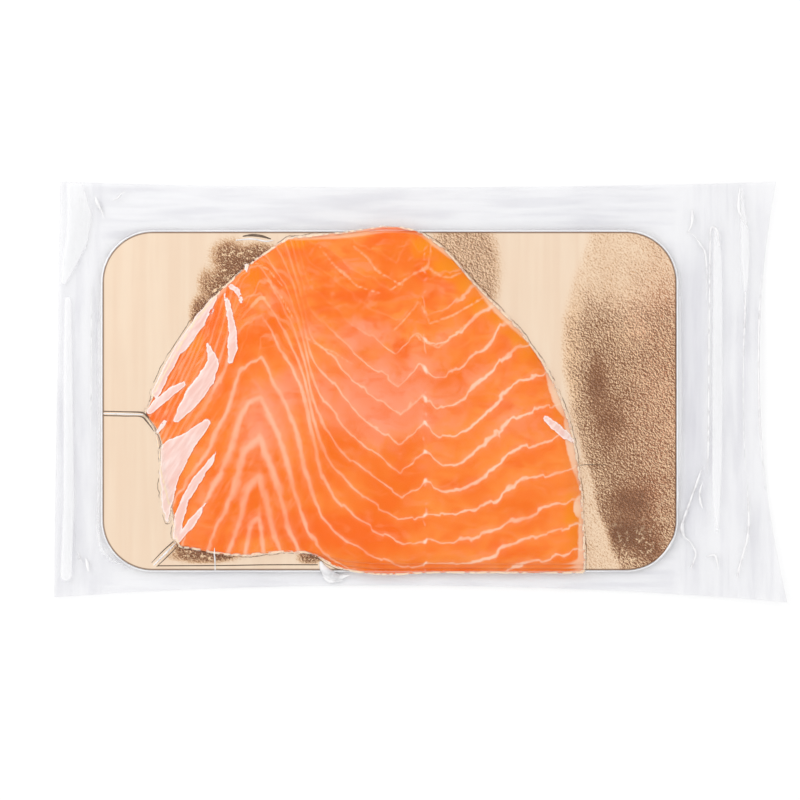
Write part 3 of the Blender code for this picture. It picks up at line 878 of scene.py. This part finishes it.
def line_layers(flesh):
    """The shares of the fat lines and of what goes with them: halo, strands, crossings, peaks."""
    x = flesh.axes()[0]
    arches = flesh.attribute("arches")
    peaks = flesh.attribute("peaks")
    wander = flesh.noise(110, 2.0) - 0.5
    quiver = (flesh.noise(620, 2.0) - 0.5) * (1 - arches * 0.7)
    jogs = flesh.noise(170, 0.0, 0.5, 0.0, flesh.scaled(1.0, 0.5, 1.0)).fade(0.44, 0.56)
    step = (x + wander * 14 - 31).fade(-2.0, 2.0) - 0.5
    number = flesh.attribute("line_number") + wander * 0.30 + quiver * 0.10
    number = number + jogs * (0.10 - arches * 0.10) + step * 0.17
    slope = flesh.attribute("line_slope")
    away = abs((number + 0.5).fraction() - 0.5) / slope
    width = flesh.attribute("line_width") * (0.15 + flesh.noise(230, 2.0) * 1.7)
    patchy = flesh.noise(75, 3.0).fade(0.28, 0.62)
    strength = flesh.attribute("line_strength") * (0.45 + patchy * 0.55)
    core = (1 - (away / width).fade(0.35, 1.5 + arches * 1.5)) * strength
    halo = (1 - (away / width).fade(0.5, 5.5)) * strength
    second = number * 0.93 + x * 0.105 + wander * 0.5
    crossing = abs(second.fraction() - 0.5) / slope
    crossing = (1 - crossing.fade(0.1, 0.75)) * flesh.attribute("crossing") * (patchy * 0.6 + 0.1)
    star = peaks * (1 - away.fade(0.2, 1.1)) * (1 - abs(x - PEAK_X).fade(0.2, 1.3))
    star = star * (flesh.attribute("line_strength") * 1.6).at_most(1.0)
    seam = (1 - abs(x - 1.6 - wander * 6.0).fade(0.05, 0.5)) * peaks * 0.35
    seam = seam * flesh.noise(260, 1.0).fade(0.52, 0.66)
    fibres = flesh.noise(160, 3.0, 0.6, 0.0, flesh.scaled(1.0, 0.22, 1.0, 1.03)).fade(0.5, 0.72)
    faint = (flesh.attribute("faint") + quiver * 1.2).fade(-0.45, 0.35)
    return {
        "under a line": number.fraction().fade(0.95, 0.25) * 0.34,
        "strand": fibres * (arches * 0.35).at_least(flesh.attribute("flank") * 0.8),
        "halo": halo * (0.30 + arches * 0.35),
        "crossing line": crossing,
        "line": core * 0.92,
        "faint line": faint * (0.35 + patchy * 0.4),
        "peak": star.at_least(seam) * 0.85,
    }


def salmon_flesh():
    """Moist orange flesh with pale fat lines, pinker at the middle and golden at the right rim."""
    flesh = Finish("salmon_flesh")
    pale = flesh.mix(flesh.attribute("arches"), FLESH["line"], FLESH["arch line"])
    blotch = flesh.noise(150, 3.0, 0.6, 0.8, flesh.scaled(0.7, 1.3, 1.0))
    fat_rim = flesh.attribute("fat_rim")
    reach = fat_rim * 7.5 + (blotch - 0.5) * 9.0 * fat_rim - flesh.attribute("inside_rim")
    rim = reach.fade(-0.5, 0.9) * (0.35 + fat_rim * 0.55)
    layers = tone_layers(flesh, blotch) | line_layers(flesh) | {"rim": rim}
    grain = flesh.noise(1500, 2.0)
    relief = layers["line"] * 0.543 + grain * 0.5
    return flesh.show(
        flesh.principled(
            Base_Color=flesh.layered(FLESH | {"line": pale}, "orange", layers),
            Roughness=0.32 + grain * 0.12,
            Normal=flesh.bump(relief, 0.12 * MM, 0.5),
            Specular_IOR_Level=0.12,
        )
    )


def board_distance(finish):
    """How far outside the board's edge a point is, in millimetres, and negative inside it."""
    x, y = finish.axes()
    across = abs(x - BOARD_MIDDLE[0] / MM) - BOARD_STRAIGHT[0] / MM
    up = abs(y - BOARD_MIDDLE[1] / MM) - BOARD_STRAIGHT[1] / MM
    reach_x = across.at_least(0.0)
    reach_y = up.at_least(0.0)
    outside = (reach_x * reach_x + reach_y * reach_y).math("SQRT")
    return outside + across.at_least(up).at_most(0.0) - BOARD_CORNER / MM


def gold_board(finish):
    """The card under the slices: a sheet cut to the board's rim, where its foil crumples, and where its
    painted dark reflections and glints fall.
    """
    depth = BOARD_HIGH.z - BOARD_LOW.z
    piece, is_lower = cut_sheet("gold_board", rim_of("board"), BOARD_CELL, depth)
    points = places(piece)
    points[:, 2] = np.where(is_lower, BOARD_LOW.z, BOARD_HIGH.z)
    put(piece, points)
    x, y = points[:, :2].T / MM
    begins = np.interp(y, RIGHT_EDGE_Y, RIGHT_EDGE_X)
    right = smooth_share((x - begins) / np.interp(y, (-20.0, 20.0), (2.5, 8.0)))
    fringe = smooth_share((x - begins) / 6 + np.interp(y, (-20.0, 20.0), (0.3, 0.6)))
    quiet_top = 1 - 0.65 * rising(y, 18, 26)
    # Painted dark reflections: patches beside the slices and over the foil's right part
    crushed_shade = smooth_share(spots(points, SHADE_SPOTS) * 1.5)
    tan = smooth_share(spots(points, TAN_SPOTS, add=True) * 3.2)
    shaded = right * spots(points, RIGHT_SHADE_SPOTS, add=True)
    creased_shading = fringe * quiet_top * (1 - 0.65 * rising(shaded, 0.65, 1 / 3))
    wedge = 0.35 * rising(x, begins - 16, 6) * rising(-y, 22, 8)
    covered = salmon_depth(points)
    # The shade stored here is painted dark reflection, the crumple amount weights the painted highlight and
    # shade on the wrinkles, and the glints are painted highlights
    attach(
        piece,
        shade=np.max((crushed_shade, tan * 0.30, shaded), axis=0),
        crumple=np.max((crushed_shade * 0.8, tan * 0.6, creased_shading, wedge), axis=0),
        glints=np.maximum(crushed_shade, right * spots(points, GLINT_SPOTS)),
        copper=spots(points, COPPER_SPOTS),
        off_salmon=-np.maximum(covered, stroke_depth(points, BLISTERS_AND_GLARE.values())),
    )
    piece.data.shade_flat()
    piece.data.materials.append(finish)
    return piece


def gold_foil():
    """Gold foil on card: cream where flat, crumpled and bronze to the right; the bronze is painted dark
    reflection, with painted wrinkle highlights, glints and contact shadow.
    """
    foil = Finish("gold_foil")
    crumple = foil.attribute("crumple")
    along = foil.scaled(1.0, 0.8, 1.0, WRINKLE_LEAN)
    beside = foil.node("ShaderNodeVectorMath", {"operation": "ADD"}, {0: along, 1: LIGHT_STEP})

    def wrinkles(vector):
        fine = foil.noise(FINE_WRINKLES, 3.0, 0.75, 0.0, vector)
        return foil.facets(WRINKLES, vector) + fine * 2.2

    # The lit side of each wrinkle, its height less the height just beside it, paints a highlight on one side
    # and shade on the other
    ridges = wrinkles(along)
    lit = ridges - wrinkles(beside)
    drift = foil.noise(110, 4.0, 0.6)
    speckle = foil.noise(1500, 1.0) - 0.5
    glance = lit.fade(-0.12, 0.12) - 0.5 + speckle * 2.0
    streaks = foil.noise(230, 3.0, 0.65, 0.6, foil.scaled(1.0, 0.5, 1.0, WRINKLE_LEAN)) - 0.5
    # The painted dark reflection, from the stored shade, with the painted highlight and shade of the wrinkles
    # laid on it
    dark = foil.attribute("shade") * (0.9 + drift * 0.6) + (drift - 0.5 + streaks) * crumple * 0.7
    dark = dark - glance * (crumple + 0.02) * (0.75 + drift * 1.3) + 0.04
    sheen = foil.noise(260, 2.0, 0.5, 0.0, foil.scaled(1.0, 0.06, 1.0))
    copper = foil.attribute("copper")
    # Painted glints: sparse, and on the lit sides of the wrinkles
    glints = foil.noise(480, 3.0, 0.9).fade(0.56, 0.62) * foil.attribute("glints")
    glints = glints.at_least(lit.fade(0.18, 0.28) * crumple * 0.55)
    edge = board_distance(foil).fade(-0.75, -0.25)
    # A painted contact shadow: a broken dark line just outside the slices
    beyond = foil.attribute("off_salmon") + (foil.noise(130, 4.0, 0.7) - 0.5) * 2.4
    contact_shadow = (1 - abs(beyond - 0.9).fade(0.06, 0.24)) * foil.noise(120, 4.0, 0.7).fade(0.40, 0.54)
    colours = FOIL | {
        "tan": foil.mix(copper, FOIL["tan"], FOIL["copper tan"]),
        "brown": foil.mix(copper, FOIL["brown"], FOIL["copper brown"]),
    }
    layers = {
        "light cream": sheen.fade(0.3, 0.7),
        "crumpled cream": crumple.at_most(1.0) * 0.8,
        "tan": dark.fade(0.06, 0.36),
        "brown": dark.fade(0.38, 0.62),
        "bronze": dark.fade(0.76, 0.96),
        "glint": glints,
        "edge": edge * 0.8,
        "contact_shadow": contact_shadow * 0.8,
    }
    relief = ridges * crumple + foil.noise(900, 2.0) * 0.08
    return foil.show(
        foil.principled(
            Base_Color=foil.layered(colours, "cream", layers),
            Metallic=1.0,
            Roughness=0.30 + drift * 0.12,
            Normal=foil.bump(relief, 0.25 * MM, 0.6),
        )
    )


def bowed(points):
    """Draws the pouch's straight sides in where vacuum pulls them, and keeps its corners."""
    u = points[:, 0] / POUCH_HALF_LENGTH
    v = points[:, 1] / POUCH_HALF_WIDTH
    right_edge = RIGHT_DRAWN * (1 - v * v) + RIGHT_LEAN * (1 + v)
    left_edge = LEFT_LEAN * (1 + v)
    upper_edge = UPPER_DRAWN * (1 - u * u)
    lower_edge = LOWER_DRAWN * (1 - u * u) + LOWER_LEAN * (1 - u)
    drawn = points.copy()
    drawn[:, 0] += np.maximum(-u, 0.0) ** 3 * left_edge - np.maximum(u, 0.0) ** 3 * right_edge
    drawn[:, 1] += np.maximum(-v, 0.0) ** 3 * lower_edge - np.maximum(v, 0.0) ** 3 * upper_edge
    return drawn


def outside_board(points):
    """How far outside the board's edge each point is, in metres, and negative inside it."""
    across = np.abs(points[:, 0] - BOARD_MIDDLE[0]) - BOARD_STRAIGHT[0]
    up = np.abs(points[:, 1] - BOARD_MIDDLE[1]) - BOARD_STRAIGHT[1]
    outside = np.hypot(np.maximum(across, 0.0), np.maximum(up, 0.0))
    return outside + np.minimum(np.maximum(across, up), 0.0) - BOARD_CORNER


def margin_height(points):
    """How far the pouch's free border waves up from the table."""
    outward = outside_board(points) - FLAT_BORDER
    wave_x = np.sin(points[:, 0] / MARGIN_WAVE * math.tau + MARGIN_PHASE_X)
    wave_y = np.cos(points[:, 1] / MARGIN_WAVE * math.pi + MARGIN_PHASE_Y)
    return MARGIN_LIFT * smooth_share(outward / LIFT_WIDTH) * (1 + wave_x * wave_y) / 2


def stroke_depth(points, strokes):
    """How far inside the nearest stroke each point is, in millimetres, and negative outside."""
    depth = np.full(len(points), FAR_OUTSIDE)
    flat = points[:, :2] / MM
    for stroke in strokes:
        for (x, y, half), (next_x, next_y, next_half) in zip(stroke, stroke[1:]):
            start = np.array((x, y))
            side = np.array((next_x, next_y)) - start
            share = np.clip((flat - start) @ side / (side @ side), 0.0, 1.0)
            gap = np.hypot(*(flat - start - share[:, None] * side).T)
            depth = np.maximum(depth, half + (next_half - half) * share - gap)
    return depth


def contents_height(points):
    """The top of what is under the film at each point, a little widened at its edges."""
    height = margin_height(points) + FILM_PAIR
    widening = 0.7 * FILM_CELL
    on_board = outside_board(points) < widening
    height[on_board] = np.maximum(height[on_board], BOARD_HIGH.z + FILM_CLEARANCE)
    for level, name in enumerate(SLICES):
        inside = read_raster(DEPTHS[name], points)
        covered = inside > -widening
        upper = slice_heights(level, points, inside + RIM_ROUND)[1]
        height[covered] = np.maximum(height[covered], upper[covered] + FILM_CLEARANCE)
    return height


def drawn_down(height, shape):
    """The film's height where vacuum draws it down over what it covers."""
    order = height.reshape(shape)
    film = order.copy()
    for _ in range(DRAPE_STEPS):
        padded = np.pad(film, 1, mode="edge")
        around = padded[:-2, 1:-1] + padded[2:, 1:-1] + padded[1:-1, :-2] + padded[1:-1, 2:]
        film = np.maximum(order, around / 4 - SUCTION)
    return film.ravel()


def pouch_film(finish):
    """The clear pouch: back film flat on the table, front film drawn down over the contents."""
    size = (POUCH_HALF_LENGTH, POUCH_HALF_WIDTH)
    columns, rows = (round(2 * half / FILM_CELL) for half in size)
    piece = flat_grid("film_pouch", columns, rows, (-size[0], -size[1]), size)
    flat = places(piece)[:, :2]
    order = np.lexsort((flat[:, 0].round(6), flat[:, 1].round(6)))
    flat = bowed(flat)
    film = np.empty(len(flat))
    film[order] = drawn_down(contents_height(flat)[order], (rows + 1, columns + 1))
    film += BLISTER_LIFT * rising(stroke_depth(flat, BLISTERS_AND_GLARE.values()), -0.6, 1.6)
    film += SEAL_LIFT * rising(stroke_depth(flat, SEALS_AND_GLARE.values()), -1.5, 3.0)
    is_lower = thicken_down(piece, FILM_PAIR)
    points = places(piece)
    points[~is_lower, :2] = flat
    points[~is_lower, 2] = film
    points[is_lower, :2] = bowed(points[is_lower, :2])
    points[is_lower, 2] = margin_height(points[is_lower, :2])
    put(piece, points)
    covered = salmon_depth(points)
    # The strokes of the milky patches and the seals lift the film and carry their painted highlights
    attach(
        piece,
        blister=stroke_depth(points, BLISTERS_AND_GLARE.values()),
        seal=stroke_depth(points, SEALS_AND_GLARE.values()),
        off_flesh=-covered - spots(points, LOOSE_SPOTS),
    )
    piece.data.shade_smooth()
    piece.data.materials.append(finish)
    return piece


def clear_film():
    """Clear glossy film, a little hazy at the margin, with painted milky highlights off the salmon, on its
    seals, at the board's edge and along the slices' rim.
    """
    film = Finish("clear_film")
    x, y = film.axes()
    ragged = film.noise(230, 5.0, 0.65) - 0.5
    brushed = film.noise(150, 4.0, 0.6, 0.3, film.scaled(1.0, 0.35, 1.0, BRUSH_LEAN)) - 0.5
    # The milky patches: a painted highlight where the film stands off the salmon
    blister = film.attribute("blister") + ragged * 1.2 + brushed * 2.2
    glare_share = blister.fade(-0.12, 0.16)
    glare_streaks = film.noise(120, 2.0, 0.5, 0.2, film.scaled(1.0, 0.25, 1.0, BRUSH_LEAN))
    off_board = board_distance(film)
    margin = off_board.fade(0.0, 0.6)
    lengthwise = film.noise(230, 4.0, 0.6, 0.2, film.scaled(0.10, 1.0, 1.0))
    crosswise = film.noise(230, 4.0, 0.6, 0.2, film.scaled(1.0, 0.10, 1.0))
    at_ends = (abs(x - STREAK_MIDDLE) - STREAK_HALF).fade(0.0, 8.0)
    streaks = lengthwise * (1 - at_ends) + crosswise * at_ends
    # The seals: painted whiter, as a highlight on their ridges
    seal = (film.attribute("seal") + ragged * 0.5).fade(-0.3, 0.5)
    off_flesh = film.attribute("off_flesh")
    # A painted highlight where the film bends over the board's edge
    bend_highlight = (1 - abs(off_board - 0.45).fade(0.10, 0.35)) * (0.15 + off_flesh.fade(0.2, 1.0) * 0.6)
    shade = streaks.fade(0.64, 0.30) * 0.7
    channel = (1 - abs(x - CHANNEL_X).fade(2.5, 6.0)) * (1 - abs(y).fade(45.0, 62.0))
    channel = channel * margin * (1 - seal)
    brink = 1 - blister.fade(0.1, 0.9)
    whiteness = brink.at_least(glare_streaks.fade(0.35, 0.9))
    # A painted glint: a broken cream line along the slices' rim
    ravel = off_flesh + (film.noise(240, 2.0) - 0.5) * 0.8
    rim_glint = (1 - abs(ravel + 0.1).fade(0.2, 0.65)) * film.noise(400, 2.0).fade(0.38, 0.54)
    colours = FILM | {"glare": film.mix(whiteness, FILM["glare"], FILM["white glare"])}
    layers = {
        "streak": shade,
        "channel": channel * 0.5,
        "seal": seal.at_least(bend_highlight),
        "glare": glare_share,
        "rim_glint": rim_glint,
    }
    haze = margin * (0.07 + shade * 0.05) + seal * margin * 0.30 + bend_highlight + 0.004
    haze = (haze + channel * 0.03).at_least(rim_glint * 0.75)
    haze = haze.at_least(glare_share * (0.70 + brink * 0.14 + glare_streaks.fade(0.3, 0.8) * 0.12))
    facing = film.node("ShaderNodeLayerWeight", None, {"Blend": 0.5}, output="Facing")
    shine = facing.math("POWER", 5.0) * 0.7 + 0.008
    clear = film.node("ShaderNodeBsdfTransparent", None, {"Color": CLEAR_TINT})
    body = film.principled(
        Base_Color=film.layered(colours, "haze", layers),
        Roughness=0.14,
        Specular_IOR_Level=0.5,
        Normal=film.bump(streaks, 0.2 * MM, 0.3),
    )
    factor = (haze + shine).at_most(1.0)
    return film.show(film.node("ShaderNodeMixShader", None, {0: factor, 1: clear, 2: body}))


def film_fold(kind):
    """The film where it folds: milky where it catches the light, and brown in its shadow."""
    fold = Finish(f"{kind}_fold")
    dark, light, thin, thick = FOLD[kind]
    patches = fold.noise(190, 2.0)
    clear = fold.node("ShaderNodeBsdfTransparent")
    body = fold.principled(Base_Color=fold.mix(patches, dark, light), Roughness=0.2)
    factor = patches.fade(0.30, 0.55) * (thick - thin) + thin
    return fold.show(fold.node("ShaderNodeMixShader", None, {0: factor, 1: clear, 2: body}))


def film_folds(name, strokes, pouch, finish):
    """Rounded creases that stand out of the film, each a tube laid along its stroke."""
    bpy.ops.object.select_all(action="DESELECT")
    bpy.ops.curve.primitive_nurbs_path_add(location=(0.0, 0.0, 0.0))
    path = bpy.context.object
    path.name = name
    path.data.splines.clear()
    path.data.bevel_depth = MM
    path.data.bevel_resolution = 2
    path.data.use_fill_caps = True
    for stroke in strokes:
        line = smooth_run(np.array(stroke))
        spline = path.data.splines.new("POLY")
        spline.points.add(len(line) - 1)
        for point, (x, y, half) in zip(spline.points, line):
            point.co = (x * MM, y * MM, 0.0, 1.0)
            point.radius = max(half, FINEST_FOLD)
    bpy.ops.object.convert(target="MESH")
    piece = bpy.context.object
    piece.data.name = name
    tree = BVHTree.FromObject(pouch, bpy.context.evaluated_depsgraph_get())
    down = Vector((0.0, 0.0, -1.0))
    points = places(piece)
    for point in points:
        above = Vector((point[0], point[1], VIEW_WIDTH))
        beside = Vector((point[0], point[1], 0.0))
        touch = tree.ray_cast(above, down)[0] or tree.find_nearest(beside)[0]
        point[2] = max(point[2] * FOLD_FLATNESS + touch.z, 0.0)
    put(piece, points)
    piece.data.shade_smooth()
    piece.data.materials.append(finish)
    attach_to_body(piece, "root")


def pale_floor():
    floor = Finish("pale_floor")
    colour = floor.mix(floor.noise(6, 2.0), *FLOOR_TONES)
    return floor.show(floor.principled(Base_Color=colour, Roughness=0.9, Specular_IOR_Level=0.1))


def add_floor():
    bpy.ops.object.select_all(action="DESELECT")
    bpy.ops.mesh.primitive_plane_add(size=FLOOR_SIZE, location=(0.0, 0.0, -FLOOR_DROP))
    floor = bpy.context.object
    floor.name = "floor"
    floor.data.materials.append(pale_floor())


def add_softbox(name, place, size, power):
    """A square soft light that faces the pack."""
    light = bpy.data.lights.new(name, "AREA")
    light.size = size
    light.energy = power
    lamp = bpy.data.objects.new(name, light)
    bpy.context.scene.collection.objects.link(lamp)
    lamp.location = place
    lamp.rotation_euler = (-lamp.location).to_track_quat("-Z", "Y").to_euler()


def add_light():
    world = bpy.data.worlds.new("studio")
    world.use_nodes = True
    background = world.node_tree.nodes["Background"]
    background.inputs["Color"].default_value = (1.0, 1.0, 1.0, 1.0)
    background.inputs["Strength"].default_value = 1.0
    bpy.context.scene.world = world
    add_softbox("softbox", SOFTBOX_PLACE, SOFTBOX_SIZE, SOFTBOX_POWER)
    bpy.context.scene.view_settings.view_transform = "Standard"


def add_camera():
    camera = bpy.data.objects.new("camera", bpy.data.cameras.new("camera"))
    bpy.context.scene.collection.objects.link(camera)
    camera.data.lens = LENS
    camera.data.sensor_width = SENSOR
    camera.location = (*VIEW_CENTRE, VIEW_WIDTH * LENS / SENSOR)
    bpy.context.scene.camera = camera


def dress(piece, node):
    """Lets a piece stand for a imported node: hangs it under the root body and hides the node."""
    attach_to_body(piece, "root")
    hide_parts(node)


add_camera()
add_light()
add_floor()
flesh = salmon_flesh()
for level, node in enumerate(SLICES):
    dress(salmon_slice(level, node, flesh), node)
dress(gold_board(gold_foil()), "board")
pouch = pouch_film(clear_film())
dress(pouch, "pouch")
film_folds("film_folds_bright", BRIGHT_FOLDS, pouch, film_fold("bright"))
film_folds("film_folds_dark", DARK_FOLDS, pouch, film_fold("dark"))

bpy.context.view_layer.update()
